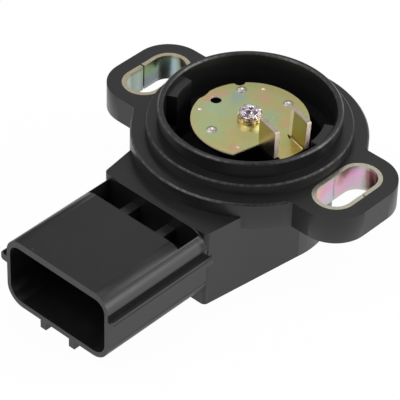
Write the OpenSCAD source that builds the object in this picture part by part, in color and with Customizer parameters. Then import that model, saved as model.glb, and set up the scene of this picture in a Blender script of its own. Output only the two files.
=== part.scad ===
// Throttle position sensor: moulded housing with a drive fork that turns in a cup.
// Millimetres. Z runs along the rotor axis, out of the cup. X runs to the right lug.
// The plug shroud points along minus Y. Z = 0 is the mounting face of the flange.

/* [Mounting] */
// Distance between the two slotted holes
slot_spacing = 45; // [45:0.5:50]
// Width of the screw slot inside its sleeve
slot_width = 6.3; // [5.2:0.1:6.5]
// Straight length of the screw slot
slot_travel = 6.5; // [3:0.5:8]
// Wall of the rolled sleeves
sleeve_wall = 0.8; // [0.6:0.1:0.9]
// Thickness of flange and lugs
flange_thickness = 5.2; // [4:0.1:6]
// Radius of the flange disc
flange_radius = 20.9; // [20:0.1:22]
// Distance from the middle line of a slot to the edge of its lug
lug_margin = 6.65; // [6:0.05:8]

/* [Cup] */
// Radius of the seat step
seat_radius = 18.2; // [17.6:0.1:18.3]
// Height of the seat step above the flange
seat_height = 2; // [1:0.1:3]
// Outer radius of the cup rim
cup_radius = 16.2; // [16:0.1:16.8]
// Wall of the cup rim
cup_wall = 1.1; // [0.9:0.1:1.2]
// Height of the cup rim above the flange
cup_height = 5.05; // [4:0.05:7]

/* [Body] */
// Outer radius of the drum under the flange
drum_radius = 15.2; // [14.8:0.1:15.6]
// Depth of the body under the mounting face
body_depth = 18.6; // [18:0.1:21]
// Distance from the rotor axis to the front of the block
block_reach = 23.9; // [23:0.1:26]
// Half width of the block at its front
block_half_width = 12; // [11:0.05:12.5]
// Depth of the block top under the mounting face
block_drop = 2.8; // [2.6:0.1:3.4]

/* [Plug] */
// Distance from the rotor axis to the mouth of the plug shroud
plug_reach = 47.3; // [44:0.1:52]
// Width of the plug shroud
plug_width = 23.9; // [22.6:0.1:24.4]
// Height of the two ribs under the shroud
shroud_rib_height = 1.7; // [1:0.1:3]
// Distance between the terminal blades
blade_pitch = 5; // [4:0.1:6]

/* [Rotor] */
// Radius of the drive plate
plate_radius = 10.4; // [9.8:0.1:10.5]
// Thickness of the drive plate
plate_thickness = 0.9; // [0.7:0.1:1.2]
// Height of the fork tabs above the plate
tab_height = 5.55; // [4:0.05:7]
// Gap between the fork tabs at their tips
fork_gap = 5.3; // [4.5:0.1:6]
// Outward lean of the outer fork tab
tab_lean = 3.5; // [0:0.5:8]
// Turn of the fork from the line of the lugs at rest
rest_angle = -13.6; // [-30:0.1:10]

/* [Hidden] */
$fn = 96;
half_spacing = slot_spacing / 2;
slot_half = slot_travel / 2;
slot_radius = slot_width / 2;
sleeve_radius = slot_radius + sleeve_wall;
lug_half_width = slot_half + lug_margin;
lug_fillet = 1;
cut_over = 1;
seam_width = 0.3;
ledge_drop = 1.1;
ledge_sweep = 24;
cup_inner = cup_radius - cup_wall;
wall = 1.5;
recess_floor = -2.5;
well_radius = drum_radius - 2;
chamber_roof = -block_drop - 2.2;
cover_thickness = 1.7;
cover_top = -body_depth + cover_thickness;
cover_inset = 1.3;
cover_rim = 1.6;
cover_dish = 0.6;
bead_inset = 0.8;
bead_lift = 0.2;
board_thickness = 0.8;
board_top = cover_top + board_thickness;
wiper_gap = 2.4;
carrier_bottom = board_top + wiper_gap;
carrier_thickness = 1.2;
carrier_top = carrier_bottom + carrier_thickness;
boss_gap = 0.7;
boss_bottom = carrier_top + boss_gap;
boss_length = 2.8;
web_bottom = boss_bottom + boss_length;
web_thickness = 1.8;
well_floor = web_bottom + web_thickness;
block_corner = 0.9;
side_tuck = 0.02;
corner_distance = sqrt(block_reach * block_reach + block_half_width * block_half_width);
flare = atan2(block_reach, block_half_width) - acos((drum_radius - side_tuck) / corner_distance);
plug_top = -block_drop;
plug_bottom = body_depth - shroud_rib_height;
plug_mid = -(plug_bottom + block_drop) / 2;
plug_half = plug_width / 2;
plug_side = 0.8;
plug_roof = 1.4;
plug_floor = 1.1;
plug_corner_top = 3.3;
plug_corner_low = 3.6;
pocket_front = block_reach + 5.4;
pocket_back = block_reach + 0.3;
socket_end = pocket_front + 1.6;
rib_top = plug_top - 2.5;
rib_x = 4.2;
rib_width = 1.9;
blade_z = plug_mid - 0.5;
pocket_floor = blade_z + 1.85;
blade_thickness = 0.8;
blade_width = 1.6;
blade_drop_y = block_reach - 6;
blade_setback = 6.4;
bush_inner = 2.55;
bush_outer = 4;
bush_top = -1.5;
seal_wall = 0.8;
seal_height = 2;
seal_drop = 0.2;
boss_radius = 5.4;
washer_gap = 0.3;
washer_thickness = 0.3;
washer_bottom = bush_top + washer_gap;
washer_top = washer_bottom + washer_thickness;
washer_radius = 4.4;
hub_radius = 6;
clip_radius = 4.2;
clip_thickness = 0.4;
shaft_tail = 0.7;
shaft_radius = 2.5;
stud_radius = 1.7;
collar_radius = 2.2;
collar_height = 1.1;
plate_bottom = 1.3;
plate_top = plate_bottom + plate_thickness;
fork_mid = 0.75;
tab_low = fork_mid - fork_gap / 2 - plate_thickness;
tab_high = fork_mid + fork_gap / 2 - tab_height * tan(tab_lean);
ear_radius = plate_radius + 1.9;
ledge_inner = ear_radius + 0.9;
carrier_radius = 10.4;
track_radius = 9.4;
track_width = 2;
collector_radius = 7.2;
collector_width = 1.8;
track_start = 20;
track_sweep = 150;
track_height = 0.05;
pad_width = 2.2;
pad_length = 2.6;
pad_height = 0.1;
brush_start = 6.2;
brush_reach = 4.1;
brush_width = 3;
brush_thickness = 0.2;
finger_width = 0.3;
finger_pitch = 0.5;
finger_thickness = 0.15;
spring_radius = 7.6;
spring_wire = 0.35;
spring_pitch = 0.8;
spring_turns = 2;
spring_leg = 5;
spring_hook = 6;
spring_base = boss_bottom + 0.4;

black_plastic = [0.06, 0.06, 0.065];
zinc_yellow = [0.85, 0.72, 0.35];
sleeve_gold = [0.8, 0.72, 0.5];
steel_grey = [0.72, 0.72, 0.74];
board_green = [0.85, 0.84, 0.8];
carbon = [0.08, 0.08, 0.08];
bronze = [0.7, 0.5, 0.3];
tin = [0.75, 0.75, 0.76];
seal_black = [0.04, 0.04, 0.04];
cover_black = [0.07, 0.07, 0.07];

// A tube or disc between two heights
module ring(outer, inner, low, high) {
    translate([0, 0, low])
        difference() {
            cylinder(r = outer, h = high - low);
            if (inner > 0)
                translate([0, 0, -cut_over])
                    cylinder(r = inner, h = high - low + 2 * cut_over);
        }
}

// Slot outline along Y
module slot_outline(r) {
    translate([0, -slot_half])
        circle(r = r);
    translate([0, slot_half])
        circle(r = r);
    translate([-r, -slot_half])
        square([2 * r, 2 * slot_half]);
}

// Lug bar whose ends follow the slots
module lug_outline() {
    translate([-half_spacing, -lug_half_width])
        square([2 * half_spacing, 2 * lug_half_width]);
    for (s = [-1, 1])
        translate([s * half_spacing, 0])
            slot_outline(lug_margin);
    // Rounded inner corners against the flange disc
    away = flange_radius + lug_fillet;
    y = lug_half_width + lug_fillet;
    x = sqrt(away * away - y * y);
    tuck = (flange_radius - 0.5) / away;
    for (sx = [-1, 1])
        for (sy = [-1, 1])
            difference() {
                polygon([[sx * x * tuck, sy * y * tuck], [sx * x, sy * y],
                    [sx * x, sy * (lug_half_width - 0.5)],
                    [sx * (x - 1.5), sy * (lug_half_width - 0.5)]]);
                translate([sx * x, sy * y])
                    circle(r = lug_fillet + side_tuck, $fn = 48);
            }
}

// Plan of drum and block, drawn in by the given amount
module body_outline(inset) {
    r = drum_radius - inset;
    // The sides start just inside the drum, so that they cross it cleanly
    start = r - side_tuck;
    c = inset < block_corner / 2 ? block_corner - inset : 0;
    front = block_reach - inset;
    corner_x = (start - c - (front - c) * sin(flare)) / cos(flare);
    corner_y = -front + c;
    side_x = corner_x + c * cos(flare);
    side_y = corner_y - c * sin(flare);
    circle(r = r);
    polygon([[-corner_x, -front], [corner_x, -front], [side_x, side_y],
        [start * cos(flare), -start * sin(flare)], [-start * cos(flare), -start * sin(flare)],
        [-side_x, side_y]]);
    if (c > 0)
        for (s = [-1, 1])
            translate([s * corner_x, corner_y])
                circle(r = c);
}

// Cross section of the plug shroud, X across and Z up
module plug_outline(side, roof, floor_wall) {
    rt = plug_corner_top - (side + roof) / 2;
    rb = plug_corner_low - (side + floor_wall) / 2;
    hx = plug_half - side;
    top = plug_top - roof;
    low = -plug_bottom + floor_wall;
    translate([-hx + rt, low + rb])
        square([2 * (hx - rt), top - low - rb]);
    translate([-hx + rb, low])
        square([2 * (hx - rb), rb + 1]);
    translate([-hx, low + rb])
        square([2 * hx, top - rt - low - rb]);
    for (s = [-1, 1]) {
        translate([s * (hx - rt), top - rt])
            circle(r = rt);
        translate([s * (hx - rb), low + rb])
            circle(r = rb);
    }
}

// Extrudes an X Z outline from one Y to a more negative one
module along_y(from_y, to_y) {
    translate([0, from_y, 0])
        rotate([90, 0, 0])
            linear_extrude(height = from_y - to_y)
                children();
}

// Side rail of the shroud: a hooked lip with a channel open upward
module side_rail() {
    x = plug_half;
    z = plug_top;
    along_y(-block_reach + 0.5, -plug_reach)
        polygon([[x - 0.4, z - 4.7], [x + 0.7, z - 4.7], [x + 0.85, z - 4.2],
            [x + 1.12, z - 4.2], [x + 1.4, z - 4.7], [x + 1.4, z - 5.75],
            [x + 1.05, z - 6.08], [x - 0.4, z - 6.15]]);
}

module cup_profile() {
    c = 0.3;
    polygon([[cup_inner, recess_floor], [cup_inner, cup_height - c],
        [cup_inner + c, cup_height], [cup_radius - c, cup_height],
        [cup_radius, cup_height - c], [cup_radius, seat_height],
        [seat_radius - c, seat_height], [seat_radius, seat_height - c],
        [seat_radius, 0], [flange_radius - c, 0], [flange_radius, -c],
        [flange_radius, -flange_thickness], [well_radius, -flange_thickness],
        [well_radius, recess_floor]]);
}

module stop_ledge(start) {
    rotate([0, 0, start])
        translate([0, 0, recess_floor - 0.2])
            rotate_extrude(angle = ledge_sweep)
                translate([ledge_inner, 0])
                    square([cup_inner + 0.3 - ledge_inner, cup_height - ledge_drop - recess_floor + 0.2]);
}

module housing() {
    color(black_plastic)
        difference() {
            union() {
                rotate_extrude()
                    cup_profile();
                difference() {
                    translate([0, 0, -flange_thickness])
                        linear_extrude(height = flange_thickness)
                            lug_outline();
                    translate([0, 0, -flange_thickness - cut_over])
                        cylinder(r = seat_radius - 1, h = flange_thickness + 2 * cut_over);
                }
                stop_ledge(4);
                stop_ledge(184);
                difference() {
                    translate([0, 0, -body_depth])
                        linear_extrude(height = body_depth - block_drop)
                            body_outline(0);
                    translate([0, 0, well_floor])
                        cylinder(r = well_radius, h = 20);
                }
                along_y(-block_reach + 0.5, -plug_reach)
                    plug_outline(0, 0, 0);
                side_rail();
                mirror([1, 0, 0])
                    side_rail();
                // Two ribs under the shroud
                for (s = [-1, 1])
                    translate([s * 3.4 - 0.65, -plug_reach, -body_depth])
                        cube([1.3, plug_reach - block_reach + 0.5, shroud_rib_height + 0.8]);
                // Gate nub on the edge of the mouth
                translate([-6.1, -plug_reach + 0.4, plug_top - 0.1])
                    sphere(r = 0.28, $fn = 32);
                ring(boss_radius, 0, boss_bottom, bush_top - 1.2);
            }
            // Chamber under the web, open to the back
            difference() {
                translate([0, 0, -body_depth - cut_over])
                    linear_extrude(height = body_depth + cut_over + chamber_roof)
                        body_outline(wall);
                translate([0, 0, web_bottom])
                    cylinder(r = drum_radius, h = 20);
                ring(boss_radius, 0, boss_bottom, 0);
            }
            // Seat for the rear cover
            translate([0, 0, -body_depth - cut_over])
                linear_extrude(height = cover_thickness + cut_over)
                    body_outline(bead_inset);
            // Bearing bore
            translate([0, 0, boss_bottom - cut_over])
                cylinder(r = bush_outer, h = 20);
            // Seal seat
            translate([0, 0, bush_top - seal_height])
                cylinder(r = bush_outer + seal_wall, h = 20);
            // Slots for the sleeves
            for (s = [-1, 1])
                translate([s * half_spacing, 0, -flange_thickness - cut_over])
                    linear_extrude(height = flange_thickness + 2 * cut_over)
                        slot_outline(sleeve_radius);
            // Socket
            along_y(-socket_end, -plug_reach - 1)
                plug_outline(plug_side, plug_roof, plug_floor);
            // Three pockets behind the shroud
            difference() {
                translate([-plug_half + 1.3, -pocket_front, pocket_floor])
                    cube([plug_width - 2.6, pocket_front - pocket_back, 20]);
                for (s = [-1, 1])
                    translate([s * rib_x - rib_width / 2, -pocket_front - 1, pocket_floor - 1])
                        cube([rib_width, pocket_front - pocket_back + 2, rib_top - pocket_floor + 1]);
            }
            // Blade slits
            for (i = [-1, 0, 1])
                translate([i * blade_pitch - blade_width / 2, -socket_end - 1,
                    blade_z - blade_thickness / 2])
                    cube([blade_width, socket_end - block_reach + wall + 2, blade_thickness]);
        }
}

module sleeve(seam) {
    translate([0, 0, -flange_thickness])
        difference() {
            linear_extrude(height = flange_thickness)
                slot_outline(sleeve_radius);
            translate([0, 0, -cut_over])
                linear_extrude(height = flange_thickness + 2 * cut_over)
                    slot_outline(slot_radius);
            translate([seam * (slot_radius + sleeve_wall / 2) - sleeve_wall, -seam_width / 2, -cut_over])
                cube([2 * sleeve_wall, seam_width, flange_thickness + 2 * cut_over]);
        }
}

module sleeve_left() {
    color(sleeve_gold)
        translate([-half_spacing, 0, 0])
            sleeve(-1);
}

module sleeve_right() {
    color(sleeve_gold)
        translate([half_spacing, 0, 0])
            sleeve(1);
}

module rear_cover() {
    color(cover_black)
        difference() {
            translate([0, 0, -body_depth])
                linear_extrude(height = cover_thickness)
                    body_outline(cover_inset);
            translate([0, 0, -body_depth - cut_over])
                linear_extrude(height = cover_dish + cut_over)
                    body_outline(cover_inset + cover_rim);
        }
}

module cover_bead() {
    color(seal_black)
        difference() {
            translate([0, 0, -body_depth + bead_lift])
                linear_extrude(height = cover_thickness - bead_lift)
                    body_outline(bead_inset);
            translate([0, 0, -body_depth - cut_over])
                linear_extrude(height = cover_thickness + 2 * cut_over)
                    body_outline(cover_inset);
        }
}

module shaft_bush() {
    color(bronze)
        ring(bush_outer, bush_inner, boss_bottom, bush_top);
}

module bush_seal() {
    color(seal_black)
        ring(bush_outer + seal_wall, bush_outer, bush_top - seal_height, bush_top - seal_drop);
}

module half_coil(radius, wire, lift, flip) {
    tilt = atan2(lift, 4 * radius);
    rotate([0, flip * tilt, 0])
        rotate_extrude(angle = 180)
            translate([radius, 0])
                circle(r = wire, $fn = 32);
}

module return_spring() {
    radius = spring_radius;
    wire = spring_wire;
    lift = spring_pitch;
    turns = spring_turns;
    leg = spring_leg;
    hook = spring_hook;
    base = spring_base;
    color(steel_grey)
        union() {
            for (i = [0 : turns - 1]) {
                translate([0, 0, base + i * lift + lift / 4])
                    half_coil(radius, wire, lift, 1);
                translate([0, 0, base + i * lift + 3 * lift / 4])
                    rotate([0, 0, 180])
                        half_coil(radius, wire, lift, 1);
            }
            for (i = [0 : 2 * turns])
                translate([(i % 2 == 0 ? 1 : -1) * radius, 0, base + i * lift / 2])
                    sphere(r = wire * 1.02, $fn = 32);
            translate([radius, 0, base + turns * lift])
                rotate([-90, 0, 0])
                    cylinder(r = wire, h = leg, $fn = 32);
            translate([radius, leg, base + turns * lift])
                sphere(r = wire * 1.02, $fn = 32);
            translate([radius, leg, base + turns * lift])
                cylinder(r = wire, h = web_bottom - base - turns * lift, $fn = 32);
            translate([radius, -hook, base])
                rotate([-90, 0, 0])
                    cylinder(r = wire, h = hook, $fn = 32);
        }
}

module resistor_board() {
    color(board_green)
        translate([0, 0, cover_top])
            linear_extrude(height = board_thickness)
                body_outline(wall + 0.3);
}

// Printed track on the board
module arc_strip(radius, width) {
    translate([0, 0, board_top])
        rotate([0, 0, track_start])
            rotate_extrude(angle = track_sweep)
                translate([radius - width / 2, 0])
                    square([width, track_height]);
}

module resistive_track() {
    color(carbon)
        arc_strip(track_radius, track_width);
}

module collector_track() {
    color(tin)
        arc_strip(collector_radius, collector_width);
}

module contact_pads() {
    color(tin)
        for (i = [-1, 0, 1])
            translate([i * blade_pitch - pad_width / 2, -blade_drop_y - pad_length / 2, board_top])
                cube([pad_width, pad_length, pad_height]);
}

module terminal(x) {
    color(tin)
        translate([x - blade_width / 2, 0, 0])
            difference() {
                union() {
                    translate([0, -plug_reach + blade_setback, blade_z - blade_thickness / 2])
                        cube([blade_width, plug_reach - blade_setback - blade_drop_y + blade_thickness / 2,
                            blade_thickness]);
                    translate([0, -blade_drop_y - blade_thickness / 2, board_top + pad_height])
                        cube([blade_width, blade_thickness, blade_z - board_top - pad_height]);
                }
                for (s = [-1, 1])
                    translate([-1, -plug_reach + blade_setback, blade_z + s * blade_thickness / 2])
                        rotate([45, 0, 0])
                            translate([0, -0.25, -0.25])
                                cube([blade_width + 2, 0.5, 0.5]);
            }
}

module terminal_supply() {
    terminal(-blade_pitch);
}

module terminal_signal() {
    terminal(0);
}

module terminal_ground() {
    terminal(blade_pitch);
}

// One upright tab of the fork, drawn in the X Z plane
module tab(length, corner) {
    top = plate_top + tab_height;
    rotate([90, 0, 0])
        translate([0, 0, -plate_thickness])
            linear_extrude(height = plate_thickness) {
                translate([0, plate_bottom])
                    square([length, top - plate_bottom - corner]);
                translate([0, plate_bottom])
                    square([length - corner, top - plate_bottom]);
                translate([length - corner, top - corner])
                    circle(r = corner);
            }
}

// Fillet in the corner of a bend, along X
module bend(length, r) {
    difference() {
        cube([length, r, r]);
        translate([-1, r, r])
            rotate([0, 90, 0])
                cylinder(r = r, h = length + 2, $fn = 48);
    }
}

module rotor_plate() {
    low_start = 6.7;
    high_start = 7.05;
    low_end = plate_radius + 1;
    high_end = plate_radius + 1.65;
    bend_radius = 0.4;
    roll_width = 0.75;
    roll_depth = 0.2;
    color(zinc_yellow)
        rotate([0, 0, rest_angle])
            union() {
                difference() {
                    translate([0, 0, plate_bottom])
                        linear_extrude(height = plate_thickness)
                            difference() {
                                union() {
                                    circle(r = plate_radius);
                                    intersection() {
                                        circle(r = ear_radius);
                                        translate([4, tab_low])
                                            square([20, tab_high + plate_thickness - tab_low]);
                                    }
                                }
                                translate([low_start, -20])
                                    square([20, 20 + tab_low]);
                                translate([high_start, tab_high + plate_thickness])
                                    square([20, 20]);
                                translate([low_end, -20])
                                    square([20, 20 + tab_low + plate_thickness]);
                            }
                    rotate([0, 0, -164.5])
                        translate([7.86, 0, 0])
                            cylinder(r = 1.02, h = 9, $fn = 48);
                    rotate([0, 0, 156])
                        translate([plate_radius + 0.25, 0, 0])
                            cylinder(r = 1.05, h = 9, $fn = 48);
                    rotate([0, 0, -163])
                        translate([plate_radius + 4.5, 0, 0])
                            cylinder(r = 4.8, h = 9);
                    // Three coined dimples
                    for (p = [[8.17, 156.4], [7.96, 88.8], [7.53, -95.9]])
                        rotate([0, 0, p[1]])
                            translate([p[0], 0, plate_top + 1.32])
                                sphere(r = 1.57, $fn = 64);
                    // Three small pits
                    for (p = [[8.83, 130.6], [9.05, -138.5], [8.45, -48.9]])
                        rotate([0, 0, p[1]])
                            translate([p[0], 0, plate_top + 0.15])
                                sphere(r = 0.35, $fn = 32);
                    // Relief notch at the foot of the outer tab
                    translate([high_start, tab_high, 0])
                        linear_extrude(height = 9)
                            polygon([[0.15, -0.2], [0.6, 0.5], [1.35, -0.5]]);
                    cylinder(r = stud_radius, h = 9, $fn = 64);
                }
                translate([low_start, tab_low, 0])
                    tab(low_end - low_start, 0.25);
                translate([low_start, tab_low + plate_thickness, plate_top])
                    bend(low_end - low_start, bend_radius);
                // Outer tab leaning out, its inner edge rolled
                translate([high_start, tab_high, plate_top])
                    rotate([-tab_lean, 0, 0])
                        translate([0, 0, -plate_top])
                            difference() {
                                tab(high_end - high_start, 0.25);
                                translate([0, 0, plate_top + 0.1])
                                    linear_extrude(height = tab_height)
                                        polygon([[-1, -1], [roll_width, -1], [roll_width, 0],
                                            [0, roll_depth], [-1, roll_depth]]);
                            }
                translate([high_start + 1.2, tab_high, plate_top])
                    mirror([0, 1, 0])
                        bend(high_end - high_start - 1.5, bend_radius);
                ring(collar_radius, stud_radius, plate_top, plate_top + collar_height);
            }
}

module rotor_shaft() {
    head_low = plate_top + collar_height;
    head_top = head_low + 0.55;
    color(steel_grey)
        difference() {
            union() {
                translate([0, 0, carrier_bottom - shaft_tail])
                    cylinder(r = shaft_radius, h = plate_bottom - carrier_bottom + shaft_tail, $fn = 96);
                cylinder(r = stud_radius, h = head_low + 0.1, $fn = 64);
                translate([0, 0, head_low])
                    cylinder(r1 = 2.05, r2 = 1.8, h = head_top - head_low, $fn = 64);
                // Lumps left by the peening
                for (i = [1 : 9])
                    rotate([0, 0, i * 137.5])
                        translate([0.45 * sqrt(i), 0, head_top - 0.2 - 0.07 * (i % 3)])
                            sphere(r = 0.46, $fn = 32);
            }
            for (p = [[1.5, 20], [0.75, 140], [1.2, 250], [0.2, 0]])
                rotate([0, 0, p[1]])
                    translate([p[0], 0, head_top + 0.22])
                        sphere(r = 0.32, $fn = 32);
        }
}

module rotor_hub() {
    color(black_plastic)
        ring(hub_radius, shaft_radius, washer_top, plate_bottom);
}

module thrust_washer() {
    color(steel_grey)
        ring(washer_radius, shaft_radius, washer_bottom, washer_top);
}

module wiper_carrier() {
    color(black_plastic)
        ring(carrier_radius, shaft_radius, carrier_bottom, carrier_top);
}

module wiper_brush() {
    drop = carrier_bottom - board_top - track_height;
    color(bronze)
        rotate([0, 0, 60]) {
            translate([brush_start, -brush_width / 2, carrier_bottom - brush_thickness])
                cube([brush_reach, brush_width, brush_thickness]);
            for (r = [collector_radius, track_radius])
                for (k = [-1, 0, 1]) {
                    translate([r + k * finger_pitch - finger_width / 2, brush_width / 2 - 0.1,
                        carrier_bottom - brush_thickness])
                        rotate([-30, 0, 0])
                            cube([finger_width, 2 * (drop - 0.5), finger_thickness]);
                }
        }
}

module retaining_ring() {
    color(steel_grey)
        ring(clip_radius, shaft_radius, carrier_bottom - clip_thickness, carrier_bottom);
}

housing();
sleeve_left();
sleeve_right();
rear_cover();
cover_bead();
shaft_bush();
bush_seal();
return_spring();
resistor_board();
resistive_track();
collector_track();
contact_pads();
terminal_supply();
terminal_signal();
terminal_ground();
rotor_plate();
rotor_shaft();
rotor_hub();
thrust_washer();
wiper_carrier();
wiper_brush();
retaining_ring();
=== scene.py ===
# Throttle position sensor: looks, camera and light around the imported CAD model.
import math

import bmesh
import bpy
from mathutils import Matrix, Vector
from mathutils import noise as noise_kit


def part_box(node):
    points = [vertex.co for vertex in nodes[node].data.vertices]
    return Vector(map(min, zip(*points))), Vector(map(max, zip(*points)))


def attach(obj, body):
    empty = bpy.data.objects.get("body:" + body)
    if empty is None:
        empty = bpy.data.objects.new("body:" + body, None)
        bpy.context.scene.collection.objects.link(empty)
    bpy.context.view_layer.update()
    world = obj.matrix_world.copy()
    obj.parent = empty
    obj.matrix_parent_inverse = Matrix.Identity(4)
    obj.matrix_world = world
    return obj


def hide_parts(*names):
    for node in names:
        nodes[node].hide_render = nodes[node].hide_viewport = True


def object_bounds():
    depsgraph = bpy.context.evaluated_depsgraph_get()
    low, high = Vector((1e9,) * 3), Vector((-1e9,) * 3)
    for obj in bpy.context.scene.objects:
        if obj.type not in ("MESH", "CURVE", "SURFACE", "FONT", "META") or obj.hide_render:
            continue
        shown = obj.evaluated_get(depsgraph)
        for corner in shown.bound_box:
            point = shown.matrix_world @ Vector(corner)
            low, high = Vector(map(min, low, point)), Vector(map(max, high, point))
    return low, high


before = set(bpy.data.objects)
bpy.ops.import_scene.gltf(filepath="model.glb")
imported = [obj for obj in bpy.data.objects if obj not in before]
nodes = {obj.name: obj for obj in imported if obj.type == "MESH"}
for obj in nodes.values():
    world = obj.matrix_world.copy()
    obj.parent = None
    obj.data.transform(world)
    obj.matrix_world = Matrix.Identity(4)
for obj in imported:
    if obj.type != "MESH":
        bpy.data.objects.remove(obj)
cad_low, cad_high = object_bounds()
bpy.context.scene.view_settings.view_transform = "Standard"

MM = 0.001
X_AXIS = (1, 0, 0)
Y_AXIS = (0, 1, 0)
UP = (0, 0, 1)
# Half the distance between the two slots in mm, by which the whole part is scaled
SLOT_X = 22.5


def flip(direction):
    return tuple(-c for c in direction)


# Camera

# Solved from the photograph: a pinhole camera with the picture's middle as its axis.
# The solution has its own unit of length, 28 of which are half the slots' distance.
UNIT = SLOT_X / 28 * MM
CAM_DIST = 589.738 * UNIT
CAM_X = -10.781 * UNIT
CAM_Y = -15.511 * UNIT
CAM_AZ = math.radians(42.061)
CAM_EL = math.radians(39.627)
CAM_ROLL = math.radians(1.655)
CAM_FOCAL_PX = 2718.02
CAM_CLIP = 0.01
PHOTO_PX = 400
SENSOR_MM = 36


def add_camera():
    back = Vector((math.sin(CAM_AZ) * math.cos(CAM_EL), -math.cos(CAM_AZ) * math.cos(CAM_EL),
                   math.sin(CAM_EL)))
    right = Vector((math.cos(CAM_AZ), math.sin(CAM_AZ), 0))
    up = back.cross(right)
    right, up = (right * math.cos(CAM_ROLL) + up * math.sin(CAM_ROLL),
                 up * math.cos(CAM_ROLL) - right * math.sin(CAM_ROLL))
    place = back * CAM_DIST + right * CAM_X + up * CAM_Y
    data = bpy.data.cameras.new("camera")
    data.sensor_width = SENSOR_MM
    data.lens = CAM_FOCAL_PX / PHOTO_PX * SENSOR_MM
    data.clip_start = CAM_CLIP
    camera = bpy.data.objects.new("camera", data)
    turn = Matrix((right, up, back)).transposed().to_4x4()
    camera.matrix_world = Matrix.Translation(place) @ turn
    bpy.context.scene.collection.objects.link(camera)
    bpy.context.scene.camera = camera


add_camera()


# Node helpers
def new_material(name):
    mat = bpy.data.materials.new(name)
    mat.use_nodes = True
    tree = mat.node_tree
    return mat, tree, tree.nodes["Principled BSDF"]


def node(tree, kind, **values):
    """A new node: each value is one of its settings or goes to one of its inputs"""
    made = tree.nodes.new(kind)
    for key, value in values.items():
        if hasattr(made, key):
            setattr(made, key, value)
        else:
            made.inputs[key].default_value = value
    return made


def feed(tree, socket, value):
    """Links an output to the socket, or sets the socket to a plain value"""
    if isinstance(value, bpy.types.NodeSocket):
        tree.links.new(value, socket)
    else:
        socket.default_value = value


def object_coords(tree):
    return node(tree, "ShaderNodeTexCoord").outputs["Object"]


def places_and_normals(tree):
    made = node(tree, "ShaderNodeTexCoord")
    return made.outputs["Object"], made.outputs["Normal"]


def noise(tree, coords, scale, detail=3, rough=0.6):
    """Soft noise from 0 to 1, with its scale in cells per metre"""
    made = node(tree, "ShaderNodeTexNoise", Scale=scale, Detail=detail, Roughness=rough)
    tree.links.new(coords, made.inputs["Vector"])
    return made.outputs["Fac"]


def ramp(tree, fac, stops):
    made = node(tree, "ShaderNodeValToRGB")
    tree.links.new(fac, made.inputs["Fac"])
    band = made.color_ramp
    while len(band.elements) < len(stops):
        band.elements.new(0.5)
    for element, (pos, color) in zip(band.elements, stops):
        element.position = pos
        element.color = (*color, 1)
    return made.outputs["Color"]


def mix(tree, share, first, second):
    """The first colour, covered by a share of the second"""
    made = node(tree, "ShaderNodeMixRGB")
    feed(tree, made.inputs["Fac"], share)
    for value, socket in ((first, made.inputs["Color1"]), (second, made.inputs["Color2"])):
        feed(tree, socket, (*value, 1) if isinstance(value, tuple) else value)
    return made.outputs["Color"]


def pair(tree, operation, first, second):
    made = node(tree, "ShaderNodeMath", operation=operation)
    feed(tree, made.inputs[0], first)
    feed(tree, made.inputs[1], second)
    return made.outputs[0]


def product(tree, *values):
    total = values[0]
    for value in values[1:]:
        total = pair(tree, "MULTIPLY", total, value)
    return total


def highest(tree, *values):
    top = values[0]
    for value in values[1:]:
        top = pair(tree, "MAXIMUM", top, value)
    return top


def vector(tree, operation, first, second, output="Vector"):
    made = node(tree, "ShaderNodeVectorMath", operation=operation)
    feed(tree, made.inputs[0], first)
    feed(tree, made.inputs[1], second)
    return made.outputs[output]


def remap(tree, value, source, target=(0, 1), kind="LINEAR"):
    """The value, taken from one range to another and kept inside it"""
    made = node(tree, "ShaderNodeMapRange", interpolation_type=kind)
    tree.links.new(value, made.inputs["Value"])
    for name, number in (("From Min", source[0]), ("From Max", source[1]),
                         ("To Min", target[0]), ("To Max", target[1])):
        made.inputs[name].default_value = number
    return made.outputs["Result"]


def span(tree, fac, low, high):
    """From low to high while the factor goes from 0 to 1"""
    return remap(tree, fac, (0, 1), (low, high))


def along(tree, source, direction, low, high, kind="SMOOTHSTEP"):
    """0 to 1 while the vector's reach along a direction goes from low to high"""
    reach = vector(tree, "DOT_PRODUCT", source, direction, "Value")
    return remap(tree, reach, (low, high), kind=kind)


def either_way(tree, normal, direction, low, high):
    """0 to 1 while the surface turns to a direction or to the opposite one"""
    return highest(tree, along(tree, normal, direction, low, high),
                   along(tree, normal, flip(direction), low, high))


def past(tree, coords, direction, low, high):
    """0 to 1 while the place along a direction goes from low to high, in mm"""
    return along(tree, coords, direction, low * MM, high * MM)


def above(tree, coords, low, high):
    """0 to 1 while the height goes from low to high, in mm"""
    return past(tree, coords, UP, low, high)


def below(tree, coords, low, high):
    """1 to 0 while the height goes from low to high, in mm"""
    return past(tree, coords, flip(UP), -high, -low)


def off_axis(tree, coords):
    """Distance from the rotor axis"""
    flat = vector(tree, "MULTIPLY", coords, (1, 1, 0))
    return vector(tree, "LENGTH", flat, (0, 0, 0), "Value")


def rings(tree, reach, start, full):
    """0 to 1 while the distance from the axis goes from one radius to another, in mm"""
    return remap(tree, reach, (start * MM, full * MM))


def bump(tree, height, strength, distance):
    made = node(tree, "ShaderNodeBump", Strength=strength, Distance=distance)
    tree.links.new(height, made.inputs["Height"])
    return made.outputs["Normal"]


def wander(tree, coords, scale, amount):
    """Coordinates pushed some mm about by a noise, so that stain marks and painted shade have
    soft uneven borders
    """
    cloud = node(tree, "ShaderNodeTexNoise", Scale=scale, Detail=3.0, Roughness=0.55)
    tree.links.new(coords, cloud.inputs["Vector"])
    centred = vector(tree, "SUBTRACT", cloud.outputs["Color"], (0.5, 0.5, 0.5))
    return vector(tree, "ADD", coords, vector(tree, "MULTIPLY", centred, (amount * MM,) * 3))


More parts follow.
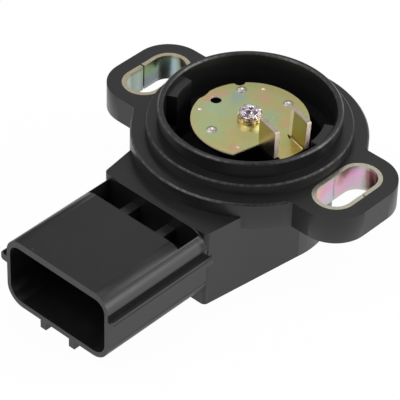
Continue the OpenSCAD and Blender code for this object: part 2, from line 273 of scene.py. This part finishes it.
def blot(tree, coords, x, y, z, radius, strength):
    """The strength at a point, falling to 0 at a radius in mm"""
    gap = vector(tree, "DISTANCE", coords, (x * MM, y * MM, z * MM), "Value")
    return remap(tree, gap, (0, radius * MM), (strength, 0), "SMOOTHSTEP")


def stains_and_painted_light(tree, coords, ground, height, marks):
    """Soft round spots at one height, for real stain marks and for painted shade and
    highlights: x, y, radius in mm, colour and strength of each
    """
    for x, y, radius, tint, strength in marks:
        share = blot(tree, coords, x, y, height, radius, strength)
        ground = mix(tree, share, ground, tint)
    return ground


# Plastics and metals
PLASTIC_BUMP = 0.00004
METAL_BUMP = 0.00003


def plastic(name, dark, light, rough, grain):
    mat, tree, shader = new_material(name)
    coords = object_coords(tree)
    cloud = noise(tree, coords, scale=160, detail=4)
    tree.links.new(ramp(tree, cloud, [(0.3, dark), (0.7, light)]), shader.inputs["Base Color"])
    tree.links.new(span(tree, noise(tree, coords, scale=420), *rough),
                   shader.inputs["Roughness"])
    tree.links.new(bump(tree, noise(tree, coords, scale=2600, rough=0.7), grain, PLASTIC_BUMP),
                   shader.inputs["Normal"])
    return mat


def gloss(tree, shader, coords, rough, grain):
    shader.inputs["Metallic"].default_value = 1
    tree.links.new(span(tree, noise(tree, coords, scale=500), *rough),
                   shader.inputs["Roughness"])
    tree.links.new(bump(tree, noise(tree, coords, scale=1500), grain, METAL_BUMP),
                   shader.inputs["Normal"])


def metal(name, stops, rough, grain, cloud_scale=120):
    mat, tree, shader = new_material(name)
    coords = object_coords(tree)
    cloud = noise(tree, coords, cloud_scale, rough=0.55)
    tree.links.new(ramp(tree, cloud, stops), shader.inputs["Base Color"])
    gloss(tree, shader, coords, rough, grain)
    return mat


# Housing

# Zones of the housing in mm: from where each starts to where it is in full, or for a top
# from where it is in full to where it ends
CUP_REACH = (15.8, 16.0)
CUP_FOOT = (2.0, 2.2)
CUP_TOP = (4.6, 4.9)
WELL_REACH = (15.2, 15.0)
WELL_TOP = (-0.5, 1.5)
SEAT_REACH = (17.8, 18.0)
SEAT_FOOT = (0.05, 0.3)
# The shoulders of the shroud run from its top down to the side rails
SHOULDER_Y = -24.5
SHOULDER_FOOT = (-7.4, -7.2)
# How directly a face looks sideways, up and down where a zone starts and where it is in
# full. The last one leaves flat tops out.
SHOULDER_FACING = (0.55, 0.85)
WORN_FACING_UP = (0.3, 0.55)
WORN_FACING_DOWN = (-0.97, -0.85)
# Specular levels: the plain moulding, the dull cup, and what the other zones add or lose
PLAIN_LEVEL = 0.5
DULL_LEVEL = 0.08
SHOULDER_GAIN = 0.5
WORN_GAIN = (0.1, 0.6)
WORN_FLECKS = (0.42, 0.62)
SEAT_LOSS = 0.2
SEAT_ROUGHNESS = 0.55


def housing_black():
    """Satin black moulding: dull on the cup's wall and floor, rougher on the seat step, and
    rubbed bright on its upper edges and the shoulders of the shroud"""
    mat = plastic("housing_black", (0.0092, 0.0092, 0.0096), (0.012, 0.012, 0.0125),
                  rough=(0.29, 0.37), grain=0.25)
    tree = mat.node_tree
    shader = tree.nodes["Principled BSDF"]
    coords, normal = places_and_normals(tree)
    reach = off_axis(tree, coords)
    wall = product(tree, rings(tree, reach, *CUP_REACH), above(tree, coords, *CUP_FOOT),
                   below(tree, coords, *CUP_TOP))
    well = product(tree, rings(tree, reach, *WELL_REACH), below(tree, coords, *WELL_TOP))
    level = span(tree, highest(tree, wall, well), PLAIN_LEVEL, DULL_LEVEL)
    shoulder = product(tree, either_way(tree, normal, X_AXIS, *SHOULDER_FACING),
                       past(tree, coords, flip(Y_AXIS), -SHOULDER_Y, 1 - SHOULDER_Y),
                       above(tree, coords, *SHOULDER_FOOT))
    level = pair(tree, "ADD", level, product(tree, shoulder, SHOULDER_GAIN))
    # Edges that lean between upright and flat, but for the shroud's
    worn = product(tree, along(tree, normal, UP, *WORN_FACING_UP),
                   along(tree, normal, flip(UP), *WORN_FACING_DOWN),
                   past(tree, coords, Y_AXIS, SHOULDER_Y - 0.5, SHOULDER_Y))
    flecks = remap(tree, noise(tree, coords, scale=1100), WORN_FLECKS, WORN_GAIN)
    level = pair(tree, "ADD", level, product(tree, worn, flecks))
    seat = product(tree, rings(tree, reach, *SEAT_REACH), above(tree, coords, *SEAT_FOOT))
    level = pair(tree, "SUBTRACT", level, product(tree, seat, SEAT_LOSS))
    tree.links.new(level, shader.inputs["Specular IOR Level"])
    plain_rough = shader.inputs["Roughness"].links[0].from_socket
    tree.links.new(highest(tree, plain_rough, product(tree, seat, SEAT_ROUGHNESS)),
                   shader.inputs["Roughness"])
    return mat


# Drive plate
FORK_TURN = math.radians(-13.6)
FORK_X = (math.cos(FORK_TURN), math.sin(FORK_TURN), 0)
FORK_Y = (-math.sin(FORK_TURN), math.cos(FORK_TURN), 0)
PLATE_TOP = 2.2
# Zones of the plate in mm, as for the housing: by distance from the axis, by height, and
# along the fork's own directions
BORDER_REACH = (9.0, 10.4)
COLLAR_REACH = (2.6, 2.35)
OVER_PLATE = (PLATE_TOP, PLATE_TOP + 0.1)
COLLAR_RISE = (2.3, 2.6)
TAB_RISE = (2.3, 7.6)
PLATE_END = (2.6, 3.4)
LINE_RISE = (1.9, 1.98)
LINE_END = (-6.9, -6.7)
STRIP_END = (-8.2, -8.0)
STRIP_SIDE = (1.6, 2.0)
SHADE_SIDE = (1.0, 2.0)
SHADE_SLANT = (2.7, 3.7)
# How directly a face looks along the axis, or along the fork's directions
LEVEL_FACING = (0.55, 0.9)
FORK_FACING = (0.6, 0.85)
# Shares of the second colour, where it lies over the first one everywhere or at most
MOTTLE_SHARE = 0.17
BORDER_SHARE = 0.45
OLIVE_SHARE = 0.5
# Share of the colour that isn't metal, on the sheared edges and other dull places; the painted
# highlights on the tab ends, the edge line, the pale strip and the dimple glints are dull too,
# so that their pale colour shows
EDGE_DULL = 0.5
TIP_DULL = 0.92
LINE_DULL = 0.95
STRIP_DULL = 0.75
GLINT_DULL = 0.5


def on_plate(radius, angle):
    """A point of the drive plate, from its own polar place to the frame at rest"""
    turn = math.radians(angle) + FORK_TURN
    return radius * math.cos(turn), radius * math.sin(turn)


DIMPLES = [on_plate(8.17, 156.4), on_plate(7.96, 88.8), on_plate(7.53, -95.9)]
PITS = [on_plate(8.83, 130.6), on_plate(9.05, -138.5), on_plate(8.45, -48.9)]
# Painted highlights as bright spots in the floor of a dimple: x and y from its middle, and
# radius
GLINTS = [(-0.3, -0.45, 0.5), (0.45, 0.1, 0.45)]
GLINT_STRENGTH = 1.4

# Soft stains: x, y, radius, colour and strength
PLATE_STAINS = [
    (-6.6, -2.2, 5.0, (0.55, 0.71, 0.45), 0.9),
    (-3.6, -6.0, 4.0, (0.58, 0.71, 0.39), 0.8),
    (2.2, 3.2, 3.2, (0.51, 0.67, 0.42), 0.85),
    (-5.7, 3.1, 3.0, (0.45, 0.61, 0.55), 1.0),
    (-5.7, 5.6, 2.2, (0.57, 0.67, 0.31), 0.7),
    (-9.1, -0.9, 2.2, (0.86, 0.50, 0.31), 1.0),
    (-8.3, 1.7, 2.4, (0.86, 0.51, 0.34), 1.0),
    (-2.2, 6.5, 3.4, (0.80, 0.54, 0.32), 1.0),
    (1.0, 9.0, 2.6, (0.70, 0.62, 0.29), 0.7),
    (5.2, 3.6, 2.2, (0.82, 0.54, 0.25), 1.0),
    (0.2, -5.4, 2.6, (0.78, 0.57, 0.29), 1.0),
    (3.7, -7.6, 2.0, (0.86, 0.48, 0.30), 1.0),
    (10.6, -1.6, 4.0, (0.62, 0.59, 0.17), 1.1),
    (-1.2, -1.6, 2.2, (0.69, 0.61, 0.29), 0.6),
]


def plate_face(tree, coords, pushed, reach):
    """Green and blue cast, pink staining, yellow border, painted shade on the dimples' far rims
    and painted reflections inside them, and painted highlights on each pit
    """
    face = ramp(tree, noise(tree, pushed, scale=150, detail=4),
                [(0.3, (0.54, 0.67, 0.38)), (0.45, (0.60, 0.67, 0.31)),
                 (0.58, (0.66, 0.64, 0.27)), (0.72, (0.75, 0.56, 0.25))])
    face = stains_and_painted_light(tree, pushed, face, PLATE_TOP, PLATE_STAINS)
    mottle = ramp(tree, noise(tree, coords, scale=800, rough=0.65),
                  [(0.38, (0.46, 0.67, 0.40)), (0.5, (0.66, 0.66, 0.32)),
                   (0.62, (0.86, 0.60, 0.28))])
    face = mix(tree, MOTTLE_SHARE, face, mottle)
    border = product(tree, rings(tree, reach, *BORDER_REACH), BORDER_SHARE)
    face = mix(tree, border, face, (0.78, 0.62, 0.29))
    # Painted shade on the far rim of each dimple, a painted reflection in its floor, and
    # painted highlights on the pit marks
    painted_rim_shade = [(x - 0.16, y + 0.18, 1.15, (0.20, 0.19, 0.15), 4.0) for x, y in DIMPLES]
    painted_floor_light = [(x + 0.05, y - 0.06, 1.08, (0.74, 0.67, 0.62), 4.0) for x, y in DIMPLES]
    pit_highlights = [(x, y, 0.7, (1.0, 0.66, 0.52), 0.9) for x, y in PITS]
    return stains_and_painted_light(tree, coords, face, PLATE_TOP, painted_rim_shade + painted_floor_light + pit_highlights)


def dimple_glints(tree, coords):
    spots = [(x + dx, y + dy, radius) for x, y in DIMPLES for dx, dy, radius in GLINTS]
    return highest(tree, *(blot(tree, coords, x, y, PLATE_TOP, radius, GLINT_STRENGTH)
                           for x, y, radius in spots))


def tab_faces(tree, coords, pushed, strip):
    """Olive tabs, browner and darker towards the foot as a painted shade: the outer one has a
    pale strip by its inner edge as a painted highlight, and the inner one a slanting grey
    painted reflection"""
    rise = above(tree, coords, *TAB_RISE)
    tab = mix(tree, rise, (0.41, 0.27, 0.075), (0.38, 0.355, 0.19))
    cloud = span(tree, noise(tree, pushed, scale=300), 0, OLIVE_SHARE)
    tab = mix(tree, cloud, tab, (0.35, 0.37, 0.16))
    tab = mix(tree, strip, tab, (0.95, 0.84, 0.62))
    slant = (0.75 * FORK_X[0], 0.75 * FORK_X[1], -0.66)
    shade = product(tree, past(tree, coords, flip(FORK_Y), *SHADE_SIDE),
                    past(tree, coords, slant, *SHADE_SLANT))
    return mix(tree, shade, tab, (0.62, 0.52, 0.40))


def cut_edges(tree, coords, upper, tip, line):
    """Lilac edges of the tabs, their outer ends painted pale as lit faces; the plate's own edge
    is dark below a thin painted highlight line"""
    crumbs = noise(tree, coords, scale=700)
    lilac = ramp(tree, crumbs, [(0.35, (0.44, 0.35, 0.30)), (0.65, (0.58, 0.47, 0.41))])
    pale = ramp(tree, crumbs, [(0.35, (0.86, 0.70, 0.58)), (0.65, (1.0, 0.84, 0.72))])
    border = mix(tree, line, (0.17, 0.13, 0.10), (1.0, 0.80, 0.68))
    return mix(tree, upper, border, mix(tree, tip, lilac, pale))


def collar_gold(tree, coords):
    """Bright gold with dark flecks, browner at its foot as a painted shade"""
    rise = above(tree, coords, *COLLAR_RISE)
    gold = mix(tree, rise, (0.60, 0.42, 0.26), (1.0, 0.88, 0.66))
    flecks = remap(tree, noise(tree, coords, scale=1300), (1.45 / 3, 1.9 / 3),
                   kind="SMOOTHSTEP")
    return mix(tree, flecks, gold, (0.45, 0.28, 0.16))


def zinc_plate():
    """Yellow passivated sheet with two upright tabs and a collar round the shaft"""
    mat, tree, shader = new_material("zinc_yellow")
    coords, normal = places_and_normals(tree)
    pushed = wander(tree, coords, 260, 4.5)
    reach = off_axis(tree, coords)
    # What is above the plate, flat faces, sides of the tabs, their outer ends, the collar,
    # and all that isn't a cut edge
    upper = above(tree, coords, *OVER_PLATE)
    level = product(tree, either_way(tree, normal, UP, *LEVEL_FACING),
                    below(tree, coords, *PLATE_END))
    sides = product(tree, either_way(tree, normal, FORK_Y, *FORK_FACING), upper)
    tip = product(tree, along(tree, normal, FORK_X, *FORK_FACING), upper)
    near = rings(tree, reach, *COLLAR_REACH)
    faced = highest(tree, level, sides, near)
    # The pale strip on the outer tab and the thin line along the plate's edge are painted
    # highlights
    strip = product(tree, past(tree, coords, flip(FORK_X), *STRIP_END),
                    past(tree, coords, FORK_Y, *STRIP_SIDE))
    line = product(tree, above(tree, coords, *LINE_RISE),
                   past(tree, coords, flip(FORK_X), *LINE_END))
    glints = dimple_glints(tree, coords)

    # The dimple glints are painted highlights laid over the plate's face
    face = mix(tree, glints, plate_face(tree, coords, pushed, reach), (1.0, 0.94, 0.93))
    face = mix(tree, sides, face, tab_faces(tree, coords, pushed, strip))
    color = mix(tree, faced, cut_edges(tree, coords, upper, tip, line), face)
    color = mix(tree, product(tree, near, upper), color, collar_gold(tree, coords))
    tree.links.new(color, shader.inputs["Base Color"])
    gloss(tree, shader, coords, rough=(0.24, 0.34), grain=0.12)

    # The sheared edges are duller than the rolled faces, and so are the painted highlights, so
    # that their pale colour shows
    sheared = highest(tree, product(tree, upper, span(tree, tip, EDGE_DULL, TIP_DULL)),
                      product(tree, line, LINE_DULL))
    dull = highest(tree, product(tree, sheared, pair(tree, "SUBTRACT", 1, faced)),
                   product(tree, strip, sides, STRIP_DULL), product(tree, glints, GLINT_DULL))
    tree.links.new(pair(tree, "SUBTRACT", 1, dull), shader.inputs["Metallic"])
    return mat


# Sleeves

# The colours in the slots run along the picture's width, from -5 to 5 mm round the middle
SLOT_RUN = (0.742, 0.670, 0)
SLOT_HALF = 5
# Heights in mm between which the lower colours give way to the upper ones, and where the
# bands under the rim and at the foot start and are in full
WALL_RISE = (-3.6, -1.6)
UNDER_RISE = (-0.95, -0.35)
FOOT_RISE = (-5.0, -4.3)
BAND_SHARE = 0.7
RIM_FACING = (0.5, 0.85)
RIM_SHADE = 0.86
# Colours of the walls: place in mm along the slot, and colour. They are oxide tints with
# painted reflections in them, and painted shade at the dark end

LEFT_UPPER = [
    (-4.7, (0.40, 0.47, 0.42)), (-3.2, (0.41, 0.53, 0.43)), (-2.2, (0.25, 0.34, 0.20)),
    (-1.1, (0.205, 0.32, 0.15)), (0.0, (0.26, 0.38, 0.25)), (0.5, (0.30, 0.41, 0.31)),
    (1.8, (0.34, 0.47, 0.36)), (2.4, (0.32, 0.44, 0.45)), (3.2, (0.37, 0.51, 0.52)),
    (4.0, (0.30, 0.36, 0.30)), (4.5, (0.09, 0.07, 0.05)),
]
LEFT_LOWER = [
    (-4.7, (0.40, 0.47, 0.44)), (-3.2, (0.42, 0.52, 0.46)), (-2.2, (0.22, 0.24, 0.26)),
    (-1.1, (0.21, 0.25, 0.28)), (0.0, (0.20, 0.23, 0.22)), (0.5, (0.22, 0.25, 0.23)),
    (1.8, (0.24, 0.28, 0.25)), (2.4, (0.31, 0.40, 0.42)), (3.2, (0.39, 0.50, 0.53)),
    (4.5, (0.12, 0.09, 0.07)),
]
RIGHT_UPPER = [
    (-4.8, (0.78, 0.44, 0.38)), (-4.2, (0.73, 0.39, 0.45)), (-3.3, (0.73, 0.39, 0.55)),
    (-2.4, (0.68, 0.42, 0.58)), (-2.05, (0.45, 0.30, 0.36)), (-1.8, (0.70, 0.38, 0.46)),
    (-0.9, (0.50, 0.24, 0.26)), (-0.2, (0.70, 0.36, 0.48)), (0.8, (0.70, 0.37, 0.54)),
    (2.4, (0.72, 0.41, 0.64)), (3.1, (0.55, 0.42, 0.50)), (3.6, (0.36, 0.17, 0.18)),
    (4.6, (0.30, 0.12, 0.12)),
]
RIGHT_LOWER = [
    (-4.8, (0.68, 0.48, 0.50)), (-3.8, (0.66, 0.48, 0.60)), (-3.0, (0.61, 0.50, 0.63)),
    (-2.3, (0.50, 0.50, 0.58)), (-2.05, (0.34, 0.30, 0.34)), (-1.8, (0.68, 0.42, 0.52)),
    (-0.5, (0.66, 0.38, 0.50)), (0.9, (0.60, 0.42, 0.54)), (2.6, (0.60, 0.46, 0.54)),
    (3.3, (0.36, 0.35, 0.32)), (3.7, (0.22, 0.14, 0.13)), (4.6, (0.26, 0.13, 0.12)),
]


def spread(stops):
    """Stops from millimetres along the slot to places on a ramp"""
    return [((u + SLOT_HALF) / (2 * SLOT_HALF), color) for u, color in stops]


def sleeve_metal(name, rim, under, foot, middle_x, upper, lower):
    """Rolled sleeve: a plain rim, and colours that change along the slot inside: oxide tints
    with painted reflections and painted shade
    """
    mat, tree, shader = new_material(name)
    coords, normal = places_and_normals(tree)
    pushed = wander(tree, coords, 240, 1.0)
    middle = SLOT_RUN[0] * middle_x
    place = along(tree, pushed, SLOT_RUN, (middle - SLOT_HALF) * MM,
                  (middle + SLOT_HALF) * MM, "LINEAR")
    wall = mix(tree, above(tree, pushed, *WALL_RISE), ramp(tree, place, spread(lower)),
               ramp(tree, place, spread(upper)))
    band = product(tree, above(tree, pushed, *UNDER_RISE), BAND_SHARE)
    wall = mix(tree, band, wall, under)
    band = product(tree, below(tree, pushed, *FOOT_RISE), BAND_SHARE)
    wall = mix(tree, band, wall, foot)
    rim_color = ramp(tree, noise(tree, coords, scale=600),
                     [(0.35, tuple(c * RIM_SHADE for c in rim)), (0.65, rim)])
    top = along(tree, normal, UP, *RIM_FACING)
    tree.links.new(mix(tree, top, wall, rim_color), shader.inputs["Base Color"])
    gloss(tree, shader, coords, rough=(0.2, 0.32), grain=0.15)
    return mat


# Materials of the nodes
HOUSING = housing_black()
COVER = plastic("cover_black", (0.02, 0.02, 0.021), (0.03, 0.03, 0.031),
                rough=(0.45, 0.6), grain=0.4)
HUB = plastic("hub_black", (0.014, 0.014, 0.014), (0.02, 0.02, 0.02),
              rough=(0.5, 0.65), grain=0.3)
RUBBER = plastic("seal_rubber", (0.01, 0.01, 0.01), (0.016, 0.016, 0.016),
                 rough=(0.6, 0.8), grain=0.4)
ZINC = zinc_plate()
SLEEVE_LEFT = sleeve_metal("sleeve_left_gold", rim=(0.66, 0.58, 0.43),
                           under=(0.30, 0.27, 0.13), foot=(0.36, 0.38, 0.34),
                           middle_x=-SLOT_X, upper=LEFT_UPPER, lower=LEFT_LOWER)
SLEEVE_RIGHT = sleeve_metal("sleeve_right_gold", rim=(0.80, 0.76, 0.60),
                            under=(0.46, 0.50, 0.44), foot=(0.50, 0.55, 0.48),
                            middle_x=SLOT_X, upper=RIGHT_UPPER, lower=RIGHT_LOWER)
STEEL = metal("steel_bright", [(0.3, (0.62, 0.62, 0.63)), (0.7, (0.8, 0.8, 0.8))],
              rough=(0.25, 0.42), grain=0.4)
WIRE = metal("steel_wire", [(0.3, (0.4, 0.4, 0.42)), (0.7, (0.55, 0.55, 0.57))],
             rough=(0.3, 0.45), grain=0.2)
BRONZE = metal("bronze", [(0.3, (0.5, 0.32, 0.16)), (0.7, (0.66, 0.45, 0.25))],
               rough=(0.35, 0.5), grain=0.4)
TIN = metal("tin_plate", [(0.3, (0.55, 0.55, 0.56)), (0.7, (0.7, 0.7, 0.71))],
            rough=(0.3, 0.45), grain=0.2)
BOARD = plastic("board_laminate", (0.36, 0.3, 0.18), (0.48, 0.42, 0.28),
                rough=(0.5, 0.65), grain=0.3)
CARBON = plastic("carbon_film", (0.012, 0.012, 0.012), (0.02, 0.02, 0.02),
                 rough=(0.4, 0.55), grain=0.2)

FINISH = {
    "housing": HOUSING, "sleeve_left": SLEEVE_LEFT, "sleeve_right": SLEEVE_RIGHT,
    "rear_cover": COVER, "cover_bead": RUBBER, "shaft_bush": BRONZE, "bush_seal": RUBBER,
    "return_spring": WIRE, "resistor_board": BOARD, "resistive_track": CARBON,
    "collector_track": TIN, "contact_pads": TIN, "terminal_supply": TIN,
    "terminal_signal": TIN, "terminal_ground": TIN, "rotor_plate": ZINC,
    "rotor_shaft": STEEL, "rotor_hub": HUB, "thrust_washer": WIRE, "wiper_carrier": HUB,
    "wiper_brush": BRONZE, "retaining_ring": WIRE,
}
# Edge rounding in mm
EDGE = {"housing": 0.28, "rotor_plate": 0.12, "rear_cover": 0.2}
EDGE_ANGLE = math.radians(40)
WELD_DISTANCE = 0.000001

for name, obj in nodes.items():
    obj.data.materials.clear()
    obj.data.materials.append(FINISH[name])
    if name in EDGE:
        weld = obj.modifiers.new("weld", "WELD")
        weld.merge_threshold = WELD_DISTANCE
        edge = obj.modifiers.new("edge", "BEVEL")
        edge.width = EDGE[name] * MM
        edge.segments = 2
        edge.limit_method = "ANGLE"
        edge.angle_limit = EDGE_ANGLE
        edge.use_clamp_overlap = True
        edge.harden_normals = False


# Peened shaft

# Sizes in mm
SHAFT_RADIUS = 2.5
SHAFT_TOP = 1.3
STUD_RADIUS = 1.7
HEAD_FOOT = 3.3
# The head's outline before the hammering: radius, and height over its foot
HEAD_CURVE = [(1.74, 0), (1.93, 0.12), (1.97, 0.34), (1.86, 0.58), (1.55, 0.76), (1.0, 0.86),
              (0.5, 0.9), (0.0, 0.9)]
HEAD_STEP = 0.06
HEAD_TURNS = 120
HEAD_MARGIN = 0.01
HEAD_RISE = 0.25
LUMP_SCALE = 0.8
LUMP_SHIFT = Vector((3.1, 1.7, 0.4))
CREASE_WIDTH = 0.26
CREASE_DEPTH = 0.26
# Unevenness of the lumps: noise scale and height
ROUGH_NOISE = [(1.5, 0.22), (3.6, 0.06)]
# Hammer marks on the head: x, y, radius and depth
DENTS = [(0.11, -0.62, 0.5, 0.26), (0.99, 0.17, 0.42, 0.22), (0.48, -1.55, 0.42, 0.3),
         (-0.3, 0.45, 0.34, 0.14), (-1.2, -0.5, 0.3, 0.16)]
DENT_HEIGHT = 4.0
DENT_SHADE_SPREAD = 1.5


def peened_steel():
    """Bright lilac-grey steel, with painted shade in the hammer marks"""
    mat = metal("steel_peened", [(0.35, (0.62, 0.54, 0.58)), (0.65, (0.80, 0.73, 0.78))],
                rough=(0.2, 0.3), grain=0.1, cloud_scale=500)
    tree = mat.node_tree
    color = tree.nodes["Principled BSDF"].inputs["Base Color"]
    pushed = wander(tree, object_coords(tree), 900, 0.5)
    # Painted shade darkens each dent, spread wider than the dent itself
    marks = [(x, y, r * DENT_SHADE_SPREAD, (0.10, 0.07, 0.08), 1.5) for x, y, r, depth in DENTS]
    ground = color.links[0].from_socket
    tree.links.new(stains_and_painted_light(tree, pushed, ground, DENT_HEIGHT, marks), color)
    return mat


def shaft_profile():
    """Radius and height from the shaft's foot up to the middle of its head, in mm"""
    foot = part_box("rotor_shaft")[0][2] / MM
    profile = [(0.0, foot), (SHAFT_RADIUS, foot), (SHAFT_RADIUS, SHAFT_TOP),
               (STUD_RADIUS, SHAFT_TOP), (STUD_RADIUS, HEAD_FOOT)]
    curve = [(r, HEAD_FOOT + z) for r, z in HEAD_CURVE]
    for (r0, z0), (r1, z1) in zip(curve, curve[1:]):
        count = max(1, round(math.hypot(r1 - r0, z1 - z0) / HEAD_STEP))
        profile += [(r0 + (r1 - r0) * k / count, z0 + (z1 - z0) * k / count)
                    for k in range(count)]
    return profile + [curve[-1]]


def turned(profile):
    """The mesh of a profile turned round the axis"""
    shape = bmesh.new()
    levels = []
    for r, z in profile:
        angles = [2 * math.pi * k / HEAD_TURNS for k in range(HEAD_TURNS)] if r else [0]
        levels.append([shape.verts.new((r * MM * math.cos(a), r * MM * math.sin(a), z * MM))
                       for a in angles])
    for lower, upper in zip(levels, levels[1:]):
        for k in range(HEAD_TURNS):
            j = (k + 1) % HEAD_TURNS
            if len(lower) == 1:
                shape.faces.new((lower[0], upper[j], upper[k]))
            elif len(upper) == 1:
                shape.faces.new((lower[k], lower[j], upper[0]))
            else:
                shape.faces.new((lower[k], lower[j], upper[j], upper[k]))
    shape.normal_update()
    return shape


def hammered(place):
    """How far the hammering moves a point of the head outwards, in mm"""
    gaps = noise_kit.voronoi(place * LUMP_SCALE + LUMP_SHIFT)[0]
    crease = 1 - min(1.0, (gaps[1] - gaps[0]) / CREASE_WIDTH)
    rough = sum(noise_kit.noise(place * scale) * height for scale, height in ROUGH_NOISE)
    sunk = sum(depth * math.exp(-((place.x - x) ** 2 + (place.y - y) ** 2) / (0.5 * r * r))
               for x, y, r, depth in DENTS)
    fade = min(1.0, (place.z - HEAD_FOOT) / HEAD_RISE)
    return (rough - CREASE_DEPTH * crease * crease - sunk) * fade


def peened_shaft():
    """The shaft with the end that was hammered over the collar: lumps with creases between"""
    shape = turned(shaft_profile())
    head = [vert for vert in shape.verts if vert.co.z / MM >= HEAD_FOOT + HEAD_MARGIN]
    moves = [vert.normal * (hammered(vert.co / MM) * MM) for vert in head]
    for vert, move in zip(head, moves):
        vert.co += move
    for face in shape.faces:
        face.smooth = True
    mesh = bpy.data.meshes.new("shaft_peened")
    shape.to_mesh(mesh)
    shape.free()
    piece = bpy.data.objects.new("shaft_peened", mesh)
    bpy.context.scene.collection.objects.link(piece)
    mesh.materials.append(peened_steel())
    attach(piece, "rotor")
    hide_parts("rotor_shaft")


peened_shaft()


# Stage
FLOOR_SIZE = 60
FLOOR_GAP = 0.1 * MM
FLOOR_ROUGHNESS = 0.9
FLOOR_LEVEL = 0.1
WHITE_SEEN = 0.97
WHITE_MIRRORED = 0.8
WORLD_STRENGTH = 0.02


def floor_white():
    """White floor: the camera and the reflections see a white sweep, and the diffuse part
    keeps the shadow"""
    mat, tree, shader = new_material("floor_white")
    shader.inputs["Roughness"].default_value = FLOOR_ROUGHNESS
    shader.inputs["Specular IOR Level"].default_value = FLOOR_LEVEL
    cloud = noise(tree, object_coords(tree), scale=3, detail=1, rough=0.5)
    tree.links.new(ramp(tree, cloud, [(0.0, (0.93, 0.93, 0.93)), (1.0, (0.95, 0.95, 0.95))]),
                   shader.inputs["Base Color"])
    path = node(tree, "ShaderNodeLightPath")
    mirrored = highest(tree, path.outputs["Is Glossy Ray"], path.outputs["Is Transmission Ray"])
    share = highest(tree, product(tree, path.outputs["Is Camera Ray"], WHITE_SEEN),
                    product(tree, mirrored, WHITE_MIRRORED))
    glow = node(tree, "ShaderNodeEmission", Strength=1.0)
    both = node(tree, "ShaderNodeMixShader")
    tree.links.new(share, both.inputs["Fac"])
    tree.links.new(shader.outputs["BSDF"], both.inputs[1])
    tree.links.new(glow.outputs["Emission"], both.inputs[2])
    tree.links.new(both.outputs["Shader"], tree.nodes["Material Output"].inputs["Surface"])
    return mat


def add_stage():
    bpy.ops.mesh.primitive_plane_add(size=FLOOR_SIZE, location=(0, 0, cad_low[2] - FLOOR_GAP))
    floor = bpy.context.object
    floor.name = "floor"
    floor.data.materials.append(floor_white())
    world = bpy.data.worlds.new("studio")
    bpy.context.scene.world = world
    world.use_nodes = True
    shade = world.node_tree.nodes["Background"]
    shade.inputs["Color"].default_value = (1, 1, 1, 1)
    shade.inputs["Strength"].default_value = WORLD_STRENGTH


# Soft boxes round the object: azimuth from the plug side towards +X, height in degrees, watts
SOFT_BOXES = [
    (0, 32, 0.22), (0, 52, 0.15), (0, 74, 0.35), (0, 90, 0.29),
    (90, 12, 0.63), (90, 32, 0.16), (90, 74, 0.15), (120, 12, 0.13), (120, 52, 0.50),
    (131, 31, 0.75), (143, 42, 0.15), (150, 12, 0.35), (150, 52, 0.18),
    (180, 12, 0.10), (180, 52, 0.14), (210, 12, 0.32), (210, 32, 0.07), (210, 52, 0.13),
    (240, 32, 0.11), (270, 12, 0.12), (270, 52, 0.09), (270, 74, 0.12), (291, 38, 0.22),
    (300, 12, 0.18), (330, 12, 0.39), (330, 32, 0.07), (330, 52, 0.55),
]
BOX_DISTANCE = 0.6
BOX_WIDTH = 0.3
BOX_HEIGHT = 0.27
BOX_TARGET = Vector((0, -0.01, -0.005))


def add_soft_box(turn, height, watts):
    a, e = math.radians(turn), math.radians(height)
    place = BOX_DISTANCE * Vector((math.sin(a) * math.cos(e), -math.cos(a) * math.cos(e),
                                   math.sin(e)))
    data = bpy.data.lights.new(f"soft_box_{turn}_{height}", "AREA")
    data.shape = "RECTANGLE"
    data.size = BOX_WIDTH
    data.size_y = BOX_HEIGHT
    data.energy = watts
    lamp = bpy.data.objects.new(data.name, data)
    facing = (BOX_TARGET - place).to_track_quat("-Z", "Y").to_matrix().to_4x4()
    lamp.matrix_world = Matrix.Translation(place) @ facing
    bpy.context.scene.collection.objects.link(lamp)


add_stage()
for box in SOFT_BOXES:
    add_soft_box(*box)
